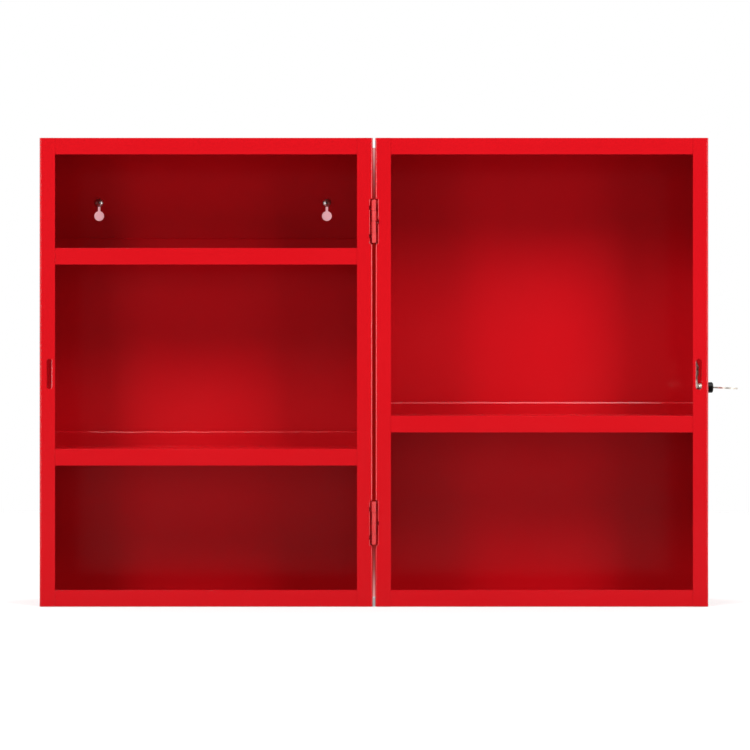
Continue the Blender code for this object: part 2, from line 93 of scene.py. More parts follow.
SHEET = 0.001
FOLD = 0.0018              # outside radius of the rounded folds
STILE = 0.015              # width of the upright front flanges
RAIL = length_z("body_top")
SEAM = 0.00006             # half-open joint between welded sheets
SETBACK = 0.00022          # rails and shelf lips lie this far behind the stiles' faces
EDGE = 0.00042             # rounding of cut sheet edges and of the front folds
FOLD_STEPS = 10

JOGGLE = 0.0018            # how far a side wall is pressed in behind a hinge leaf
JOGGLE_RAMP = 0.0010
JOGGLE_DEPTH = 0.01345     # from the front face
JOGGLE_CLEARANCE = 0.00045 # above and below a hinge leaf
JOGGLE_ROWS = 5
NOTCH_RADIUS = 0.0022      # tool notches in the wall's corner beside each rivet
NOTCH_REACH = 0.0035

CAM_INSET = LOCK_AXIS.x - middle("lock_cam").x       # side face to the slots' centre lines
STRIKE_SLOT = (0.0048, 0.0290, -0.0016)              # width, height, centre height
CAM_SLOT = (0.0056, 0.0298, -0.0020)
SLOT_STEPS = 14
DISH_WIDTH = 0.0010        # shallow funnel around the slots
DISH_DEPTH = 0.00024
LOCK_HOLE_RADIUS = 0.0043
KEYHOLE_RADIUS = 0.0049
KEYHOLE_NECK = 0.0025
KEYHOLE_DROP = 0.0131      # from the screw down to the round hole

CURL_BACK = (0.0009, 0.0013)       # depth and height of the lean of a shelf's rear edge
SHELF_WAVE = 0.00035       # unevenness of that edge, wall half
DOOR_SHELF_WAVE = 0.00004
WAVE_STATIONS = 120

HINGES = {label: middle(f"{label}_hinge_pin") for label in ("upper", "lower")}
HINGE_LENGTH = length_z("upper_hinge_pin")
SIDES = 48
ON_AXIS = 1e-9
SAME_POINT = 1e-7


# ---------------------------------------------------------------- materials

def shader_nodes(name):
    material = bpy.data.materials.new(name)
    material.use_nodes = True
    tree = material.node_tree
    return material, tree, tree.nodes["Principled BSDF"]


def noise_texture(tree, scale, detail=2.0, stretch=(1, 1, 1)):
    """Noise in the piece's own space, so that it moves with the piece."""
    place = tree.nodes.new("ShaderNodeTexCoord")
    mapping = tree.nodes.new("ShaderNodeMapping")
    mapping.inputs["Scale"].default_value = stretch
    texture = tree.nodes.new("ShaderNodeTexNoise")
    texture.inputs["Scale"].default_value = scale
    texture.inputs["Detail"].default_value = detail
    tree.links.new(place.outputs["Object"], mapping.inputs["Vector"])
    tree.links.new(mapping.outputs["Vector"], texture.inputs["Vector"])
    return texture.outputs["Fac"]


def spread(tree, value, low, high, start=0.2, end=0.8):
    """Stretch a noise value over a wanted range."""
    remap = tree.nodes.new("ShaderNodeMapRange")
    for name, number in (("From Min", start), ("From Max", end), ("To Min", low), ("To Max", high)):
        remap.inputs[name].default_value = number
    tree.links.new(value, remap.inputs["Value"])
    return remap.outputs["Result"]


def two_tone(tree, value, dark, light):
    ramp = tree.nodes.new("ShaderNodeValToRGB")
    ramp.color_ramp.elements[0].position = 0.2
    ramp.color_ramp.elements[1].position = 0.8
    ramp.color_ramp.elements[0].color = (*dark, 1.0)
    ramp.color_ramp.elements[1].color = (*light, 1.0)
    tree.links.new(value, ramp.inputs["Fac"])
    return ramp.outputs["Color"]


def bumps(tree, shader, *layers):
    """Stack of bump layers, each (height value, depth in metres)."""
    previous = None
    for value, depth in layers:
        bump = tree.nodes.new("ShaderNodeBump")
        bump.inputs["Distance"].default_value = depth
        tree.links.new(value, bump.inputs["Height"])
        if previous:
            tree.links.new(previous, bump.inputs["Normal"])
        previous = bump.outputs["Normal"]
    tree.links.new(previous, shader.inputs["Normal"])


def powder_coat(name, dark, light, gloss, ior=1.55, peel_depth=0.000005):
    """Baked powder paint: orange peel, slight unevenness of film and of gloss."""
    material, tree, shader = shader_nodes(name)
    film = noise_texture(tree, 7.0, 1.0)
    peel = noise_texture(tree, 700.0, 1.0)
    grain = noise_texture(tree, 2600.0, 1.0)
    tree.links.new(two_tone(tree, film, dark, light), shader.inputs["Base Color"])
    tree.links.new(spread(tree, noise_texture(tree, 15.0, 1.0), *gloss), shader.inputs["Roughness"])
    shader.inputs["IOR"].default_value = ior
    bumps(tree, shader, (peel, peel_depth), (grain, peel_depth / 4))
    return material


def bare_metal(name, dark, light, gloss, stretch, depth):
    """Plated metal with fine drawn scratches along one direction."""
    material, tree, shader = shader_nodes(name)
    scratches = noise_texture(tree, 900.0, 5.0, stretch)
    patches = noise_texture(tree, 160.0, 3.0)
    tree.links.new(two_tone(tree, patches, dark, light), shader.inputs["Base Color"])
    shader.inputs["Metallic"].default_value = 1.0
    tree.links.new(spread(tree, scratches, *gloss), shader.inputs["Roughness"])
    bumps(tree, shader, (scratches, depth))
    return material


ALONG = (1, 0.05, 1)       # scratches drawn out along a piece's own Y
AROUND = (1, 1, 0.1)       # along its own Z
EVEN = (1, 1, 1)
FINE = 0.000006            # depth of the scratches
COARSE = 0.00001

RED = powder_coat("red_powder_coat", (0.372, 0.0024, 0.0054), (0.394, 0.0030, 0.0062), (0.13, 0.17))
# hinge paint: rougher than RED for a thinner coat; its lighter colour is a painted highlight for the light
# the rolled barrels catch
HINGE_SHEEN_RED = powder_coat("hinge_powder_coat", (0.42, 0.012, 0.014), (0.47, 0.018, 0.020), (0.20, 0.30))
BLACK = powder_coat("black_lock_head", (0.002, 0.002, 0.002), (0.006, 0.005, 0.005), (0.22, 0.32), 1.25)
NICKEL = bare_metal("bright_nickel", (0.60, 0.56, 0.50), (0.74, 0.71, 0.66), (0.16, 0.34), ALONG, COARSE)
WORN = bare_metal("worn_nickel", (0.62, 0.56, 0.49), (0.80, 0.74, 0.67), (0.38, 0.56), ALONG, COARSE)
# cam: a darker copy of the worn nickel, painted shade for its place deep behind the slot
CAM_SHADED_NICKEL = bare_metal("cam_nickel_painted_shade", (0.36, 0.30, 0.26), (0.55, 0.49, 0.44), (0.38, 0.56), ALONG, COARSE)
ZINC = bare_metal("zinc_steel", (0.55, 0.55, 0.54), (0.72, 0.72, 0.71), (0.12, 0.26), AROUND, FINE)
# wall screw heads: rougher than the zinc, and darker as painted shade for the dim light they get through
# the keyholes
HEAD_ZINC_SHADED = bare_metal("screw_head_zinc", (0.42, 0.40, 0.38), (0.62, 0.60, 0.58), (0.26, 0.42), EVEN, FINE)


# ---------------------------------------------------------------- making pieces

def new_object(name, bm, material=None):
    """A piece when it has a material, otherwise a cutter."""
    for face in bm.faces:
        face.smooth = True
    mesh = bpy.data.meshes.new(name)
    bm.to_mesh(mesh)
    bm.free()
    item = bpy.data.objects.new(name, mesh)
    bpy.context.scene.collection.objects.link(item)
    if material:
        mesh.materials.append(material)
    return item


def combine(item, operation, *tools):
    """Apply Boolean tools to a piece for good, and remove them."""
    for tool in tools:
        modifier = item.modifiers.new(tool.name, "BOOLEAN")
        modifier.operation = operation
        modifier.object = tool
        modifier.solver = "EXACT"
    apply_modifiers(item)
    for tool in tools:
        bpy.data.objects.remove(tool, do_unlink=True)
    return item


def apply_modifiers(item):
    bpy.context.view_layer.update()
    evaluated = item.evaluated_get(bpy.context.evaluated_depsgraph_get())
    mesh = bpy.data.meshes.new_from_object(evaluated)
    item.modifiers.clear()
    item.data = mesh
    return item


def thicken(item, thickness=SHEET):
    modifier = item.modifiers.new("sheet", "SOLIDIFY")
    modifier.thickness = thickness
    modifier.offset = 0.0
    modifier.use_even_offset = True
    return apply_modifiers(item)


def round_edges(item, width=EDGE, angle=50, segments=4):
    """Soften the cut edges and shade flat faces flat."""
    bevel = item.modifiers.new("soft_edges", "BEVEL")
    bevel.width = width
    bevel.segments = segments
    bevel.limit_method = "ANGLE"
    bevel.angle_limit = radians(angle)
    bevel.use_clamp_overlap = True
    apply_modifiers(item)
    for polygon in item.data.polygons:
        polygon.use_smooth = True
    weighted = item.modifiers.new("flat_faces", "WEIGHTED_NORMAL")
    weighted.keep_sharp = False
    return item


def settle(item, body, *nodes):
    """Name what a finished piece moves with and stands for."""
    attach(item, body)
    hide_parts(*nodes)
    return item


def box(name, low, high, material=None):
    low, high = Vector(low), Vector(high)
    size = [abs(b - a) for a, b in zip(low, high)]
    bm = bmesh.new()
    place = Matrix.Translation((low + high) / 2) @ Matrix.Diagonal((*size, 1.0))
    bmesh.ops.create_cube(bm, size=1.0, matrix=place)
    return new_object(name, bm, material)


def rod(name, start, end, radius, material=None, sides=SIDES, end_radius=None):
    start, end = Vector(start), Vector(end)
    along = end - start
    turn = along.to_track_quat("Z", "Y").to_matrix().to_4x4()
    bm = bmesh.new()
    bmesh.ops.create_cone(bm, cap_ends=True, segments=sides, radius1=radius,
                          radius2=radius if end_radius is None else end_radius,
                          depth=along.length, matrix=Matrix.Translation((start + end) / 2) @ turn)
    return new_object(name, bm, material)


def arc(centre, radius, start, end, steps):
    angles = [radians(start + (end - start) * i / steps) for i in range(steps + 1)]
    return [(centre[0] + radius * cos(a), centre[1] + radius * sin(a)) for a in angles]


def circle(centre, radius, sides=SIDES):
    return arc(centre, radius, 0, 360 - 360 / sides, sides - 1)


def plate(name, outline, thickness, material=None, place=Matrix.Identity(4)):
    """Flat piece with the given outline in its own XY plane, centred on it."""
    bm = bmesh.new()
    face = bm.faces.new([bm.verts.new((x, y, -thickness / 2)) for x, y in outline])
    grown = bmesh.ops.extrude_face_region(bm, geom=[face], use_keep_orig=True)["geom"]
    raised = [part for part in grown if isinstance(part, bmesh.types.BMVert)]
    bmesh.ops.translate(bm, vec=(0, 0, thickness), verts=raised)
    bmesh.ops.recalc_face_normals(bm, faces=bm.faces)
    bmesh.ops.transform(bm, matrix=place, verts=bm.verts)
    return new_object(name, bm, material)


def turned(name, profile, material=None, place=Matrix.Identity(4), sides=SIDES):
    """Round piece about its own Z axis from a closed or axis-to-axis (radius, height) profile."""
    bm = bmesh.new()
    rings = []
    angles = [2 * pi * i / sides for i in range(sides)]
    for radius, height in profile:
        if radius < ON_AXIS:
            rings.append([bm.verts.new((0, 0, height))])
        else:
            rings.append([bm.verts.new((radius * cos(a), radius * sin(a), height)) for a in angles])
    for upper, lower in zip(rings, rings[1:]):
        for i in range(sides):
            j = (i + 1) % sides
            corners = [upper[i % len(upper)], upper[j % len(upper)]]
            corners += [lower[j % len(lower)], lower[i % len(lower)]]
            bm.faces.new(list(dict.fromkeys(corners)))
    bmesh.ops.remove_doubles(bm, verts=bm.verts, dist=SAME_POINT)
    bmesh.ops.recalc_face_normals(bm, faces=bm.faces)
    bmesh.ops.transform(bm, matrix=place, verts=bm.verts)
    return new_object(name, bm, material)


def loft(name, rows, material):
    """Open sheet through rows of points with equal counts."""
    bm = bmesh.new()
    grid = [[bm.verts.new(point) for point in row] for row in rows]
    for row, following in zip(grid, grid[1:]):
        for i in range(len(row) - 1):
            bm.faces.new((row[i], row[i + 1], following[i + 1], following[i]))
    return new_object(name, bm, material)


def smoothstep(value):
    value = min(max(value, 0.0), 1.0)
    return value * value * (3 - 2 * value)


OUT_OF_WALL = Matrix.Rotation(pi / 2, 4, "X")      # own Y up, own Z towards the viewer


# ---------------------------------------------------------------- trays

def side_run():
    """Half of a mantle's profile: (inset from the side face, depth behind the front face) points."""
    half = SHEET / 2
    run = [(STILE, half)]
    run += arc((FOLD, FOLD), FOLD - half, 270, 180, FOLD_STEPS)
    run += [(half, JOGGLE_DEPTH - JOGGLE_RAMP / 2 + JOGGLE_RAMP * i / 4) for i in range(5)]
    run += arc((FOLD, DEPTH - FOLD), FOLD - half, 180, 90, FOLD_STEPS)
    return run


def pressed_in(inset, depth, height):
    """How far the hinge-side wall is joggled inwards at a point."""
    if inset > FOLD * 1.01:
        return 0.0
    across = smoothstep((JOGGLE_DEPTH + JOGGLE_RAMP / 2 - depth) / JOGGLE_RAMP)
    end = HINGE_LENGTH / 2 + JOGGLE_CLEARANCE + JOGGLE_RAMP
    reach = max(smoothstep((end - abs(height - at.z)) / JOGGLE_RAMP) for at in HINGES.values())
    return JOGGLE * across * reach


def mantle_heights():
    """Rows of the mantle, closer together where the joggles run out."""
    heights = {-HEIGHT / 2, HEIGHT / 2}
    for at in HINGES.values():
        for end in (-1, 1):
            for i in range(JOGGLE_ROWS + 1):
                ramp = JOGGLE_RAMP * i / JOGGLE_ROWS
                heights.add(at.z + end * (HINGE_LENGTH / 2 + JOGGLE_CLEARANCE + ramp))
    return sorted(heights)


def mantle(name, centre_x, hinge_side):
    """Back, sides and stiles of a tray folded from one sheet."""
    run = side_run()
    rows = []
    for z in mantle_heights():
        near, far = [], []
        for inset, depth in run:
            shift = pressed_in(inset, depth, z)
            near.append((centre_x + hinge_side * (WIDTH / 2 - inset - shift), FRONT + depth, z))
            far.append((centre_x - hinge_side * (WIDTH / 2 - inset), FRONT + depth, z))
        rows.append(near + far[::-1])
    return thicken(loft(name, rows, RED))


def tool_notches(name, centre_x, hinge_side, rivets):
    """Half-round notches in the corner of a joggled wall, level with the rivets."""
    outer = centre_x + hinge_side * (WIDTH / 2 + SHEET)
    inner = centre_x + hinge_side * (WIDTH / 2 - NOTCH_REACH)
    notches = []
    for i, rivet in enumerate(rivets):
        z = middle(rivet).z
        start, end = (outer, FRONT, z), (inner, FRONT, z)
        notches.append(rod(f"{name}_notch_{i}", start, end, NOTCH_RADIUS, sides=24))
    return notches


def keyhole(x, screw_z):
    """Cutter for a round hole with a neck that runs up to the screw."""
    z = screw_z - KEYHOLE_DROP
    neck = KEYHOLE_NECK / 2
    lean = degrees(asin(neck / KEYHOLE_RADIUS))
    outline = arc((x, screw_z), neck, 0, 180, 12) + arc((x, z), KEYHOLE_RADIUS, 90 + lean, 450 - lean, 40)
    return plate("keyhole", outline, 6 * SHEET, place=OUT_OF_WALL)


def slot_outline(x, size, grown=0.0):
    """Upright slot with round ends, of the given (width, height, centre height)."""
    width, height, z = size
    radius = width / 2 + grown
    rise = (height - width) / 2
    upper = arc((x, z + rise), radius, 0, 180, SLOT_STEPS)
    return upper + arc((x, z - rise), radius, 180, 360, SLOT_STEPS)


def stile_slot(name, x, size):
    place = Matrix.Translation((0, FRONT, 0)) @ OUT_OF_WALL
    return plate(name, slot_outline(x, size), 6 * SHEET, place=place)


def dish(name, x, size):
    """Cutter for the shallow funnel where the punch has drawn a slot's edge inwards."""
    bm = bmesh.new()
    rims = []
    steps = ((1.5, -0.5), (0.0, 1.0), (-1.0, 2.0))
    for grown, depth in steps:
        outline = slot_outline(x, size, grown * DISH_WIDTH)
        rims.append([bm.verts.new((px, FRONT + depth * DISH_DEPTH, pz)) for px, pz in outline])
    for outer, inner in zip(rims, rims[1:]):
        for i in range(len(outer)):
            j = (i + 1) % len(outer)
            bm.faces.new((outer[i], outer[j], inner[j], inner[i]))
    bm.faces.new(rims[0])
    bm.faces.new(rims[-1])
    bmesh.ops.recalc_face_normals(bm, faces=bm.faces)
    return new_object(name, bm)


def body_rivets():
    return [f"{label}_hinge_body_rivet_{end}" for label in HINGES for end in ("top", "bottom")]


def door_rivets():
    return [f"{label}_hinge_door_rivet" for label in HINGES]


def make_mantles():
    body = mantle("body_mantle_sheet", BODY_X, 1)
    screws = [middle(screw) for screw in ("wall_screw_left", "wall_screw_right")]
    strike_x = BODY_LOW.x + CAM_INSET
    combine(body, "DIFFERENCE", *tool_notches("body", BODY_X, 1, body_rivets()),
            *(keyhole(screw.x, screw.z) for screw in screws),
            stile_slot("strike_slot", strike_x, STRIKE_SLOT),
            dish("strike_dish", strike_x, STRIKE_SLOT))
    settle(round_edges(body), "wall_half", "body_mantle")

    door = mantle("door_mantle_sheet", DOOR_X, -1)
    lock_hole = rod("lock_hole", LOCK_AXIS - Vector((4 * SHEET, 0, 0)),
                    LOCK_AXIS + Vector((SHEET, 0, 0)), LOCK_HOLE_RADIUS)
    cam_x = DOOR_HIGH.x - CAM_INSET
    combine(door, "DIFFERENCE", *tool_notches("door", DOOR_X, -1, door_rivets()), lock_hole,
            stile_slot("cam_slot", cam_x, CAM_SLOT),
            dish("cam_dish", cam_x, CAM_SLOT))
    settle(round_edges(door), "door", "door_mantle")


def shelf_wave(x, tray_x):
    """Unevenness along a shelf's rear edge, about -1 to 1."""
    broad = noise.noise(Vector((x * 55, 3.1, tray_x)))
    return broad + 0.6 * noise.noise(Vector((x * 170, 7.7, 0)))


def cross_sheet(name, centre_x, corners, uneven=0.0):
    """Folded sheet between a tray's side walls, its front fold between the stiles.

    A shelf also has a rear upstand, whose top edge waves by `uneven`.
    """
    half = WIDTH / 2 - SHEET - SEAM
    top = corners[-1][1]
    profile = corners
    if uneven:
        profile = corners[:3] + rounded(corners[2:], FOLD - SHEET / 2)[1:]
    stations = WAVE_STATIONS if uneven else 2
    rows = []
    for i in range(stations):
        x = centre_x - half + 2 * half * i / (stations - 1)
        wave = uneven * shelf_wave(x, centre_x) if uneven else 0.0
        row = []
        for y, z in profile:
            shift = wave * smoothstep((z - top) / CURL_BACK[1] + 2.0)
            row.append((x, y - shift / 2, z + shift))
        rows.append(row)
    sheet = thicken(loft(name, rows, RED))
    relief = SHEET + SEAM
    low, high = min(z for _, z in corners), max(z for _, z in corners)
    tools = []
    for side in (-1, 1):
        start = (centre_x + side * (WIDTH / 2 - STILE - SEAM), FRONT - SHEET, low - SHEET)
        tools.append(box(name + "_relief", start, (centre_x + side * WIDTH, FRONT + relief, high + SHEET)))
    return round_edges(combine(sheet, "DIFFERENCE", *tools))


def rounded(corners, radius):
    """Open path through 2D corners, with an arc in place of each inner corner."""
    path = [tuple(corners[0])]
    for before, corner, after in zip(corners, corners[1:], corners[2:]):
        corner = Vector(corner)
        back = (Vector(before) - corner).normalized()
        ahead = (Vector(after) - corner).normalized()
        half = back.angle(ahead) / 2
        centre = corner + (back + ahead).normalized() * (radius / sin(half))
        start = corner + back * (radius / tan(half)) - centre
        end = corner + ahead * (radius / tan(half)) - centre
        first = atan2(start.y, start.x)
        sweep = remainder(atan2(end.y, end.x) - first, 2 * pi)
        path += arc(centre, radius, degrees(first), degrees(first + sweep), FOLD_STEPS)
    return path + [tuple(corners[-1])]


def make_panels():
    """Tops, bottoms and shelves of both trays."""
    front, back, half = FRONT + SETBACK + SHEET / 2, -SHEET - SEAM, SHEET / 2
    for tray, body, centre_x in (("body", "wall_half", BODY_X), ("door", "door", DOOR_X)):
        for end, up in (("top", 1), ("bottom", -1)):
            plane = up * (HEIGHT / 2 - half)
            corners = [(front, up * (HEIGHT / 2 - RAIL)), (front, plane), (back, plane)]
            settle(cross_sheet(f"{tray}_{end}_panel", centre_x, corners), body, f"{tray}_{end}")
    rear = back - half - CURL_BACK[0]
    shelves = (("body_upper_shelf", "wall_half", BODY_X, SHELF_WAVE),
               ("body_lower_shelf", "wall_half", BODY_X, SHELF_WAVE),
               ("door_shelf", "door", DOOR_X, DOOR_SHELF_WAVE))
    for node, body, centre_x, uneven in shelves:
        low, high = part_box(node)
        plane = low.z + RAIL - half
        corners = [(front, low.z), (front, plane), (rear, plane), (rear, high.z - CURL_BACK[1]),
                   (rear + CURL_BACK[0], high.z)]
        settle(cross_sheet(node + "_sheet", centre_x, corners, uneven), body, node)


# ---------------------------------------------------------------- screws in the wall

SCREW_FLANK = 0.0010       # straight height of the head behind its dome
SCREW_SHANK = 0.00125      # radius
RECESS_TOP = 0.0015        # half length of a recess arm at the crown, and at its floor
RECESS_FLOOR = 0.0005
RECESS_DEPTH = 0.0014
RECESS_SLIM = 0.26         # width of a recess arm to its length


def dome(radius, rim, crown, steps):
    """Quarter of an ellipse from the crown, left out, to the rim."""
    angles = [pi / 2 * i / steps for i in range(1, steps + 1)]
    return [(radius * sin(a), rim + (crown - rim) * cos(a)) for a in angles]


def make_wall_screws():
    """Domed heads with a cross recess."""
    for node in ("wall_screw_left", "wall_screw_right"):
        low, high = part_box(node)
        radius, rim, crown = (high.x - low.x) / 2, SCREW_FLANK - high.y, -low.y
        under = rim - 0.0002
        profile = [(0.0, crown)] + dome(radius, rim, crown, 10)
        profile += [(radius - 0.0002, under), (SCREW_SHANK, under), (SCREW_SHANK, 0.0002), (0.0, 0.0002)]
        at = Matrix.Translation((middle(node).x, 0, middle(node).z)) @ OUT_OF_WALL
        screw = turned(node + "_head", profile, HEAD_ZINC_SHADED, at)
        slim = Matrix.Diagonal((1.0, RECESS_SLIM, 1.0, 1.0))
        arms = []
        for turn in (20, 110):
            arm = rod("recess", (0, 0, crown + 0.0004), (0, 0, crown - RECESS_DEPTH), RECESS_TOP,
                      sides=4, end_radius=RECESS_FLOOR)
            arm.data.transform(at @ Matrix.Rotation(radians(turn), 4, "Z") @ slim)
            arms.append(arm)
        combine(screw, "DIFFERENCE", *arms)
        settle(round_edges(screw, 0.00012, 40, 2), "wall_half", node)


# ---------------------------------------------------------------- hinges

LEAF = 0.0011
CURL = 0.0021 - LEAF / 2           # middle radius of the rolled knuckle
LEAF_OFFSET = 0.00215              # middle of the leaf to the hinge axis
LEAF_END = 0.0130
KNUCKLES = 4
KNUCKLE_GAP = 0.00040
RIVET_RADIUS = 0.0020
RIVET_SHANK = 0.0012
RIVET_CROWN = 0.0008
PIN_RADIUS = 0.00095
PIN_END = 0.0007           # radius of the pin's chamfered ends


def knuckle_span(index):
    pitch = HINGE_LENGTH / KNUCKLES
    top = HINGE_LENGTH / 2 - index * pitch
    return top - pitch + KNUCKLE_GAP / 2, top - KNUCKLE_GAP / 2


def rolled_profile(side):
    """Leaf and the curl around the pin, seen from above, about the hinge axis."""
    path = [(-LEAF_OFFSET, 0.0040), (-LEAF_OFFSET, 0.0030)]
    for i in range(1, 5):
        path.append(((LEAF_OFFSET - CURL) * smoothstep(i / 4) - LEAF_OFFSET, 0.0026 - 0.0022 * i / 4))
    path += arc((0, 0), CURL, 182, 425, 30)
    return [(-side * x, y) for x, y in path]


def make_leaf(node, body, side, own, rivets):
    """One leaf with its rolled knuckles; `side` -1 lies on the body, 1 on the door."""
    at = HINGES[node.split("_")[0]]
    leaf = box(node + "_plate", (side * (LEAF_OFFSET - LEAF / 2), 0.0033, -HINGE_LENGTH / 2),
               (side * (LEAF_OFFSET + LEAF / 2), LEAF_END, HINGE_LENGTH / 2), HINGE_SHEEN_RED)
    curls = []
    for index in own:
        low, high = knuckle_span(index)
        rows = [[(x, y, z) for x, y in rolled_profile(side)] for z in (low, high)]
        curls.append(thicken(loft(f"{node}_curl_{index}", rows, HINGE_SHEEN_RED), LEAF))
    combine(leaf, "UNION", *curls)
    leaf.data.transform(Matrix.Translation(at))
    settle(round_edges(leaf, 0.00012, 50, 2), body, node)


def make_rivet(node, body, side):
    """Domed head on the leaf, set head inside the wall."""
    at = Vector((HINGE_AXIS.x, middle(node).y, middle(node).z))
    outer, inner = 0.00002 - LEAF_OFFSET + LEAF / 2, -0.00305 - SHEET - 0.00004
    profile = [(0.0, outer + RIVET_CROWN)] + dome(RIVET_RADIUS, outer, outer + RIVET_CROWN, 8)
    profile += [(RIVET_SHANK, outer), (RIVET_SHANK, inner), (RIVET_RADIUS, inner)]
    profile += [(RIVET_RADIUS - 0.0002, inner - 0.0005), (RIVET_RADIUS - 0.0007, inner - 0.0007)]
    profile += [(0.0, inner - 0.0007)]
    turn = Matrix.Rotation(-side * pi / 2, 4, "Y")
    rivet = turned(node + "_head", profile, HINGE_SHEEN_RED, Matrix.Translation(at) @ turn, 24)
    settle(round_edges(rivet, 0.00008, 50, 2), body, node)


def make_hinges():
    for label, at in HINGES.items():
        make_leaf(f"{label}_hinge_body_leaf", "wall_half", -1, (0, 2), body_rivets())
        make_leaf(f"{label}_hinge_door_leaf", "door", 1, (1, 3), door_rivets())
        half = HINGE_LENGTH / 2
        profile = [(0.0, half), (PIN_END, half), (PIN_RADIUS, half - 0.0002)]
        profile += [(PIN_RADIUS, 0.0002 - half), (PIN_END, -half), (0.0, -half)]
        pin = turned(f"{label}_hinge_pin_steel", profile, HINGE_SHEEN_RED, Matrix.Translation(at), 24)
        settle(round_edges(pin, 0.00005, 60, 1), "wall_half", f"{label}_hinge_pin")
    for node in body_rivets():
        make_rivet(node, "wall_half", -1)
    for node in door_rivets():
        make_rivet(node, "door", 1)


# ---------------------------------------------------------------- lock and key
# Own Z of a lock piece points out of the door's side wall, its own X is up and its own Y the front.

AT_LOCK = Matrix.Translation(LOCK_AXIS) @ Matrix(((0, 0, 1, 0), (0, -1, 0, 0), (1, 0, 0, 0), (0, 0, 0, 1)))


HEAD_RADIUS = 0.0052
HEAD_LIP = 0.0013          # rounding of the head's front edge
THREAD_RADIUS = 0.0041
THREAD_PITCH = 0.00072
THREAD_TURNS = 9
BARREL_BORE = 0.0034
NUT_RADIUS = 0.0075
NUT_BORE = 0.0042
PLUG_RADIUS = 0.0031
PLUG_SQUARE = 0.0019       # half width


def make_lock_housing():
    """Black head with a rolled rim on a threaded metal barrel that passes through the wall."""
    low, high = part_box("lock_housing")
    head, reach = high.x - LOCK_AXIS.x, low.x - LOCK_AXIS.x
    mouth = BARREL_BORE + 0.00005
    flange = HEAD_RADIUS + 0.00025
    profile = [(mouth, head - 0.0003), (BARREL_BORE + 0.0003, head)]
    profile += arc((HEAD_RADIUS - HEAD_LIP, head - HEAD_LIP), HEAD_LIP, 90, 0, 8)
    profile += [(HEAD_RADIUS, 0.0006), (flange, 0.0004), (flange, 0.00002)]
    profile += [(THREAD_RADIUS, 0.00002), (mouth, 0.00002), (mouth, head - 0.0003)]
    cap = turned("lock_head", profile, BLACK, AT_LOCK)
    settle(round_edges(cap, 0.00006, 60, 1), "door", "lock_housing")
    sleeve = BARREL_BORE + 0.00004
    profile = [(BARREL_BORE, head - 0.0004), (sleeve, head - 0.0004), (sleeve, 0.0), (THREAD_RADIUS, 0.0)]
    for i in range(THREAD_TURNS):
        z = -SHEET - 0.0004 - i * THREAD_PITCH
        profile += [(THREAD_RADIUS, z), (THREAD_RADIUS - 0.00025, z - THREAD_PITCH / 2)]
    profile += [(THREAD_RADIUS, reach + 0.0003), (THREAD_RADIUS - 0.0003, reach)]
    profile += [(BARREL_BORE, reach), (BARREL_BORE, head - 0.0004)]
    barrel = turned("lock_barrel", profile, WORN, AT_LOCK)
    settle(round_edges(barrel, 0.00006, 60, 1), "door", "lock_housing")


def make_lock_nut():
    """Hexagon nut with both faces chamfered."""
    low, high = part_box("lock_nut")
    thick = high.x - low.x
    place = AT_LOCK @ Matrix.Translation((0, 0, (low.x + high.x) / 2 - LOCK_AXIS.x))
    nut = plate("lock_nut_hex", circle((0, 0), NUT_RADIUS, 6), thick, ZINC, place)
    bore = rod("nut_bore", (0, 0, -thick), (0, 0, thick), NUT_BORE)
    bore.data.transform(place)
    flat, corner = (0.0063, thick / 2 + 0.0001), (0.0078, thick / 2 - 0.0009)
    profile = [(0, flat[1]), flat, corner, (corner[0], -corner[1]), (flat[0], -flat[1]), (0, -flat[1])]
    cone = turned("nut_chamfer", profile, place=place)
    combine(nut, "DIFFERENCE", bore)
    combine(nut, "INTERSECT", cone)
    settle(round_edges(nut, 0.00012, 35, 2), "door", "lock_nut")


def make_plug():
    """Core with a chamfered face, a keyway and the square that carries the cam."""
    low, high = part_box("lock_plug")
    face, reach = high.x - LOCK_AXIS.x, low.x - LOCK_AXIS.x
    shoulder = reach + 0.0027
    profile = [(0.0, face), (PLUG_RADIUS - 0.0004, face), (PLUG_RADIUS, face - 0.0004)]
    profile += [(PLUG_RADIUS, shoulder), (0.0, shoulder)]
    plug = turned("lock_plug_core", profile, NICKEL, AT_LOCK)
    square = box("plug_square", (-PLUG_SQUARE, -PLUG_SQUARE, reach),
                 (PLUG_SQUARE, PLUG_SQUARE, shoulder + 0.0003))
    square.data.transform(AT_LOCK)
    combine(plug, "UNION", square)
    keyway = box("keyway", (-0.0010, -0.0026, face - 0.0112), (0.0010, 0.0026, face + 0.001))
    keyway.data.transform(AT_LOCK)
    combine(plug, "DIFFERENCE", keyway)
    settle(round_edges(plug, 0.00012, 40, 2), "lock_core", "lock_plug")


CAM_HUB = 0.0048           # radius; also the arm's back edge, from the lock's axis
CAM_FRONT = -0.0006        # the arm's front edge, from the lock's axis
CAM_HOOK = 0.0178          # start of the hook along the arm
CAM_CORNER = 0.004         # rounding of the tip's back corner
CAM_FILLET = 0.0014        # between arm and hook
CAM_BENDS = (0.009, 0.011, 0.013, 0.015, 0.0172, 0.0195, 0.0215, 0.0235)
CAM_DRIVE = 0.00205        # half width of the square hole


def cam_set_over(along):
    """Sideways bend of the arm and of its hook."""
    return 0.0010 * smoothstep((along - 0.008) / 0.007) - 0.0027 * smoothstep((along - 0.0165) / 0.010)


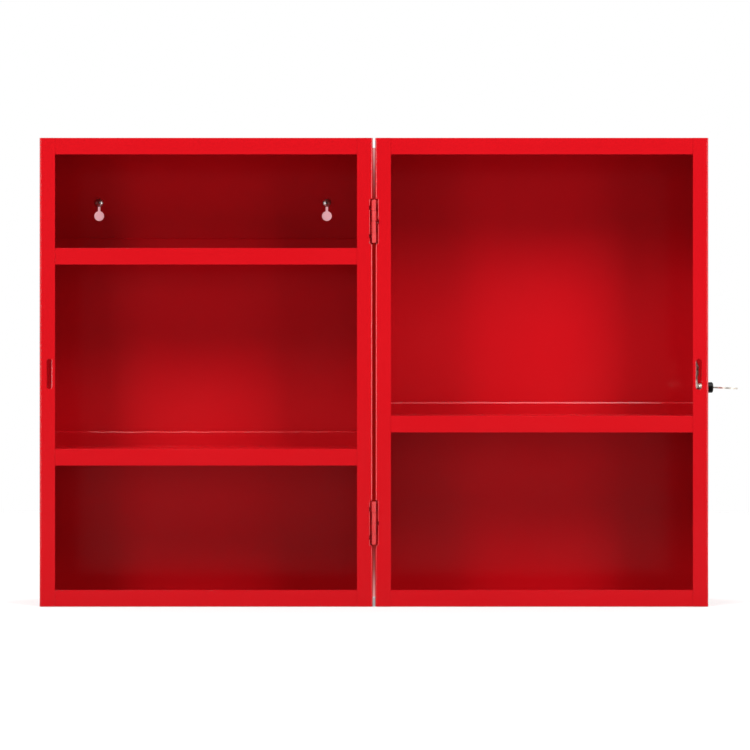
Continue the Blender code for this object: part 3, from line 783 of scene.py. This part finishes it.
def make_cam():
    """Hooked cam; its arm is set over sideways so that the hook meets the middle of the slot."""
    low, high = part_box("lock_cam")
    tip = high.z - LOCK_AXIS.z
    reach = LOCK_AXIS.y - low.y
    outline = arc((0, 0), CAM_HUB, 96, 270, 20)
    outline += [(CAM_HOOK, -CAM_HUB), (tip - CAM_CORNER, -CAM_HUB)]
    outline += arc((tip - CAM_CORNER, CAM_CORNER - CAM_HUB), CAM_CORNER, 270, 360, 8)
    outline += [(tip, reach - 0.0042), (tip - 0.0030, reach)]
    outline += [(CAM_HOOK + 0.0016, reach), (CAM_HOOK, reach - 0.0010), (CAM_HOOK, CAM_FRONT + CAM_FILLET)]
    outline += arc((CAM_HOOK - CAM_FILLET, CAM_FRONT + CAM_FILLET), CAM_FILLET, 0, -90, 5)
    outline += [(0.0075, CAM_FRONT), (0.0062, CAM_FRONT + 0.0008)]
    thick = high.x - low.x
    cam = plate("lock_cam_hook", outline, thick, CAM_SHADED_NICKEL)
    drive = box("cam_drive", (-CAM_DRIVE, -CAM_DRIVE, -thick), (CAM_DRIVE, CAM_DRIVE, thick))
    combine(cam, "DIFFERENCE", drive)
    bm = bmesh.new()
    bm.from_mesh(cam.data)
    for cut in CAM_BENDS:
        everything = bm.verts[:] + bm.edges[:] + bm.faces[:]
        bmesh.ops.bisect_plane(bm, geom=everything, plane_co=(cut, 0, 0), plane_no=(1, 0, 0))
    for vert in bm.verts:
        vert.co.z += cam_set_over(vert.co.x)
    bm.to_mesh(cam.data)
    bm.free()
    cam.data.transform(AT_LOCK @ Matrix.Translation((0, 0, -CAM_INSET)))
    settle(round_edges(cam, 0.00055, 40, 4), "lock_core", "lock_cam")


WASHER_RADIUS = 0.0038
SCREW_HEAD = (0.0028, 0.0014)      # radius and height of the cam screw's dome
SCREW_SLOT = (0.004, 0.00035, 0.0007)      # half length, half width, depth


def make_cam_fastener():
    """Washer and slotted screw that hold the cam on the plug."""
    low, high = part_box("cam_washer")
    place = AT_LOCK @ Matrix.Translation((0, 0, (low.x + high.x) / 2 - LOCK_AXIS.x))
    washer = plate("cam_washer_ring", circle((0, 0), WASHER_RADIUS), high.x - low.x, ZINC, place)
    bore = rod("washer_bore", (0, 0, -SHEET), (0, 0, SHEET), 0.0013)
    bore.data.transform(place)
    combine(washer, "DIFFERENCE", bore)
    settle(round_edges(washer, 0.00010, 40, 2), "lock_core", "cam_washer")

    low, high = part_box("cam_screw")
    crown, end = low.x - LOCK_AXIS.x, high.x - LOCK_AXIS.x
    under = crown + 0.0016
    head_radius, head_height = SCREW_HEAD
    profile = [(0.0, end), (0.0008, end), (0.0010, end - 0.0002), (0.0010, under), (0.0027, under)]
    for i in range(8):
        a = pi / 2 * i / 8
        profile.append((head_radius * cos(a), under - 0.0002 - head_height * sin(a)))
    profile += [(0.0, crown)]
    screw = turned("cam_screw_steel", profile, ZINC, AT_LOCK, 32)
    half_length, half_width, depth = SCREW_SLOT
    slot = box("screw_slot", (-half_length, -half_width, crown - 0.001),
               (half_length, half_width, crown + depth))
    slot.data.transform(AT_LOCK)
    combine(screw, "DIFFERENCE", slot)
    settle(round_edges(screw, 0.00008, 45, 2), "lock_core", "cam_screw")


KEY_DROOP = 0.045          # fall of the bow to its reach, from the play in the keyway
KEY_CUTS = (0.0006, 0.0014, 0.0003, 0.0011, 0.0018, 0.0004)
RING_RADIUS = 0.0030
GROOVE_WIDTH = 0.0011


def make_key():
    """Flat key: grooved blade with cuts, shoulder, and a round bow with a ring hole."""
    low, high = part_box("key")
    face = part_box("lock_housing")[1].x + 0.0003
    end = high.x - face
    blade_end = low.x - face
    blade, neck, bow = 0.0023, 0.0036, (high.y - low.y) / 2
    neck_end = end - 2 * bow
    outline = [(-blade, 0.0), (-blade, blade_end + 0.0010), (-blade + 0.0016, blade_end)]
    pitch = -blade_end / (len(KEY_CUTS) + 1)
    for number, cut in enumerate(KEY_CUTS):
        at = blade_end + pitch * (number + 0.8)
        outline += [(blade - cut, at - pitch * 0.18), (blade - cut, at + pitch * 0.18)]
    outline += [(blade, -0.0006), (blade, 0.0), (neck, 0.0), (neck, neck_end - 0.0006)]
    outline += arc((0, neck_end + bow), bow, -60, 240, 48)
    outline += [(-neck, neck_end - 0.0006), (-neck, 0.0)]
    thick = high.z - low.z
    place = Matrix(((0, 1, 0, face), (1, 0, 0, LOCK_AXIS.y), (0, 0, -1, LOCK_AXIS.z), (0, 0, 0, 1)))
    key = plate("key_blank", outline, thick, WORN)
    ring_y, dish_y = neck_end + bow * 1.4, neck_end + bow * 0.95
    ring = rod("ring_hole", (0, ring_y, -thick), (0, ring_y, thick), RING_RADIUS)
    sunk = []
    for x, side in ((-0.0012, 1), (0.0, -1)):
        sunk.append(box("groove", (x, blade_end - 0.001, side * thick * 0.22),
                        (x + GROOVE_WIDTH, 0.0012, side * thick)))
    for side in (-1, 1):
        floor, outside = side * thick * 0.36, side * thick
        sunk.append(rod("bow_dish", (0, dish_y, floor), (0, dish_y, outside), bow * 0.38))
    combine(key, "DIFFERENCE", ring, *sunk)
    key.data.transform(place)
    for vert in key.data.vertices:
        vert.co.z -= KEY_DROOP * max(vert.co.x - face, 0.0)
    settle(round_edges(key, 0.00010, 40, 3), "key", "key")


# ---------------------------------------------------------------- studio

FLOOR_Z = cad_bounds[0][2] - 0.0004
CAMERA_DISTANCE = 2.17      # from the front faces
VIEW_WIDTH = 0.720          # at the front faces
WALL_GAP = 0.0005           # from the back of the object to the wall
FLOOR_RADIUS = 1.6
FLOOR_GLOW = 0.35
SWEEP_WHITE = 1.0
STUDIO_DARK = 0.03
SENSOR = 36.0
CAMERA_SHIFT_X = 0.0010     # camera from the hinge axis, sideways
CAMERA_Z = -0.0027
GAP_PATCH = 0.0036          # width
KEYHOLE_PATCH = (0.014, 0.026)      # width, height
FLOOR_TONE = (0.36, 0.36, 0.36)
# pink glow of the wall behind the keyholes: painted light coming in through the holes
KEYHOLE_PAINTED_LIGHT_TONE = (0.82, 0.50, 0.54)
KEYHOLE_PAINTED_GLOW = 0.42
# glow colours of the wall in the gap: painted shade in the middle, painted light towards the open ends
GAP_PAINTED_COLOURS = ((0.22, 0.003, 0.002, 1.0), (0.34, 0.07, 0.065, 1.0), (0.72, 0.30, 0.29, 1.0))
GAP_PAINTED_FADE = (0.38, 0.50)     # heights where the painted light in the gap brightens, as parts of the object's height
SWEEP_EDGE = (-0.25, 0.05)  # dark studio before the first, white sweep behind the second


def stage_material(name, tone, glow):
    material, tree, shader = shader_nodes(name)
    paper = two_tone(tree, noise_texture(tree, 30.0), [channel * 0.99 for channel in tone], tone)
    tree.links.new(paper, shader.inputs["Base Color"])
    shader.inputs["Roughness"].default_value = 0.9
    shader.inputs["Specular IOR Level"].default_value = 0.0
    shader.inputs["Emission Color"].default_value = (1.0, tone[1] / tone[0], tone[2] / tone[0], 1.0)
    shader.inputs["Emission Strength"].default_value = glow
    return material


def one_sided(material):
    """Show a wall patch only from its front, so that the object's back stays clear."""
    tree = material.node_tree
    shader, output = tree.nodes["Principled BSDF"], tree.nodes["Material Output"]
    side = tree.nodes.new("ShaderNodeNewGeometry")
    clear = tree.nodes.new("ShaderNodeBsdfTransparent")
    mix = tree.nodes.new("ShaderNodeMixShader")
    tree.links.new(side.outputs["Backfacing"], mix.inputs[0])
    tree.links.new(shader.outputs["BSDF"], mix.inputs[1])
    tree.links.new(clear.outputs["BSDF"], mix.inputs[2])
    tree.links.new(mix.outputs["Shader"], output.inputs["Surface"])
    return material


def painted_gap_light(name):
    """Glowing wall seen through the gap: painted light, pale at the open ends, and painted shade, dusky
    red between the side walls.
    """
    material, tree, shader = shader_nodes(name)
    place = tree.nodes.new("ShaderNodeTexCoord")
    axes = tree.nodes.new("ShaderNodeSeparateXYZ")
    height = tree.nodes.new("ShaderNodeMath")
    height.operation = "ABSOLUTE"
    tree.links.new(place.outputs["Object"], axes.inputs[0])
    tree.links.new(axes.outputs["Z"], height.inputs[0])
    ramp = tree.nodes.new("ShaderNodeValToRGB")
    deep, dusk, pale = GAP_PAINTED_COLOURS
    ramp.color_ramp.elements[0].color = deep
    ramp.color_ramp.elements[1].color = pale
    ramp.color_ramp.elements.new(0.5).color = dusk
    start, end = (HEIGHT * part for part in GAP_PAINTED_FADE)
    tree.links.new(spread(tree, height.outputs[0], 0.0, 1.0, start, end), ramp.inputs["Fac"])
    tree.links.new(ramp.outputs["Color"], shader.inputs["Emission Color"])
    shader.inputs["Emission Strength"].default_value = 1.0
    shader.inputs["Base Color"].default_value = (0.02, 0.0, 0.0, 1.0)
    shader.inputs["Specular IOR Level"].default_value = 0.0
    return material


def wall_patch(name, centre, size, material):
    """Piece of the wall behind the object, facing the viewer."""
    bm = bmesh.new()
    place = Matrix.Translation((centre[0], WALL_GAP, centre[1])) @ Matrix.Rotation(pi / 2, 4, "X")
    place = place @ Matrix.Diagonal((size[0] / 2, size[1] / 2, 1.0, 1.0))
    bmesh.ops.create_grid(bm, x_segments=1, y_segments=1, size=1.0, matrix=place)
    new_object(name, bm, material)


def make_stage():
    bm = bmesh.new()
    place = Matrix.Translation((HINGE_AXIS.x, HINGE_AXIS.y, FLOOR_Z))
    bmesh.ops.create_circle(bm, cap_ends=True, segments=2 * SIDES, radius=FLOOR_RADIUS, matrix=place)
    floor = new_object("floor", bm, stage_material("pale_floor", FLOOR_TONE, FLOOR_GLOW))
    floor.visible_glossy = False
    # the patch behind the gap glows with painted light and shade; no lamp lights it
    shade = one_sided(painted_gap_light("painted_light_in_the_gap"))
    wall_patch("wall_behind_gap", (HINGE_AXIS.x, 0.0), (GAP_PATCH, HEIGHT), shade)
    # the patches behind the keyholes glow pink with painted light; no lamp lights them
    tint = one_sided(stage_material("painted_light_in_the_keyholes", KEYHOLE_PAINTED_LIGHT_TONE, KEYHOLE_PAINTED_GLOW))
    for screw in ("wall_screw_left", "wall_screw_right"):
        at = middle(screw)
        wall_patch("wall_behind_" + screw, (at.x, at.z - KEYHOLE_DROP / 2), KEYHOLE_PATCH, tint)


def softbox(name, azimuth, elevation, size, radiance, distance=2.3):
    """Rectangular softbox aimed at the middle of the object, placed by its direction from there."""
    centre = Vector((HINGE_AXIS.x, FRONT, 0))
    azimuth, elevation = radians(azimuth), radians(elevation)
    towards = Vector((sin(azimuth) * cos(elevation), -cos(azimuth) * cos(elevation), sin(elevation)))
    data = bpy.data.lights.new(name, "AREA")
    data.shape = "RECTANGLE"
    data.size, data.size_y = size
    data.energy = radiance * pi * size[0] * size[1]
    light = bpy.data.objects.new(name, data)
    bpy.context.scene.collection.objects.link(light)
    light.location = centre + towards * distance
    light.rotation_euler = (-towards).to_track_quat("-Z", "Y").to_euler()


# name, azimuth and elevation in degrees, width and height in metres, radiance
SOFTBOXES = (
    ("left_key", -48, 40, (0.8, 0.8), 20.4),
    ("right_key", 48, 40, (0.8, 0.8), 21.8),
    ("top_left", -34, 60, (1.0, 0.8), 8.7),
    ("top_right", 34, 60, (1.0, 0.8), 5.8),
    ("top_strip", -4, 62, (1.0, 0.15), 6.0),
    ("left_fill", -38, 3, (0.7, 0.9), 5.2),
    ("right_fill", 46, 3, (0.7, 0.9), 6.3),
    ("left_edge", -70, 0, (0.5, 1.0), 3.0),
    ("right_edge", 70, 0, (0.5, 1.0), 3.0),
    ("rear_left", -140, 35, (1.0, 0.8), 9.0),
    ("rear_right", 140, 35, (1.0, 0.8), 9.0),
)


def make_lights():
    for settings in SOFTBOXES:
        softbox(*settings)


def make_world():
    """White sweep behind the object, dark studio in front of it; pure white to the camera."""
    world = bpy.data.worlds.new("studio")
    bpy.context.scene.world = world
    world.use_nodes = True
    tree = world.node_tree
    tree.nodes.clear()
    output = tree.nodes.new("ShaderNodeOutputWorld")
    background = tree.nodes.new("ShaderNodeBackground")
    background.inputs["Color"].default_value = (1, 1, 1, 1)
    place = tree.nodes.new("ShaderNodeTexCoord")
    axes = tree.nodes.new("ShaderNodeSeparateXYZ")
    sweep = tree.nodes.new("ShaderNodeMapRange")
    path = tree.nodes.new("ShaderNodeLightPath")
    brightest = tree.nodes.new("ShaderNodeMath")
    brightest.operation = "MAXIMUM"
    before, behind = SWEEP_EDGE
    ends = {"From Min": before, "From Max": behind, "To Min": STUDIO_DARK, "To Max": SWEEP_WHITE}
    for name, number in ends.items():
        sweep.inputs[name].default_value = number
    tree.links.new(place.outputs["Generated"], axes.inputs[0])
    tree.links.new(axes.outputs["Y"], sweep.inputs["Value"])
    tree.links.new(sweep.outputs["Result"], brightest.inputs[0])
    tree.links.new(path.outputs["Is Camera Ray"], brightest.inputs[1])
    tree.links.new(brightest.outputs[0], background.inputs["Strength"])
    tree.links.new(background.outputs[0], output.inputs["Surface"])
    bpy.context.scene.view_settings.view_transform = "Standard"


def make_camera():
    data = bpy.data.cameras.new("camera")
    data.sensor_width = SENSOR
    data.lens = SENSOR * CAMERA_DISTANCE / VIEW_WIDTH
    camera = bpy.data.objects.new("camera", data)
    bpy.context.scene.collection.objects.link(camera)
    camera.location = (HINGE_AXIS.x + CAMERA_SHIFT_X, FRONT - CAMERA_DISTANCE, CAMERA_Z)
    camera.rotation_euler = (pi / 2, 0, 0)
    bpy.context.scene.camera = camera


make_mantles()
make_panels()
make_wall_screws()
make_hinges()
make_lock_housing()
make_lock_nut()
make_plug()
make_cam()
make_cam_fastener()
make_key()
make_stage()
make_lights()
make_world()
make_camera()
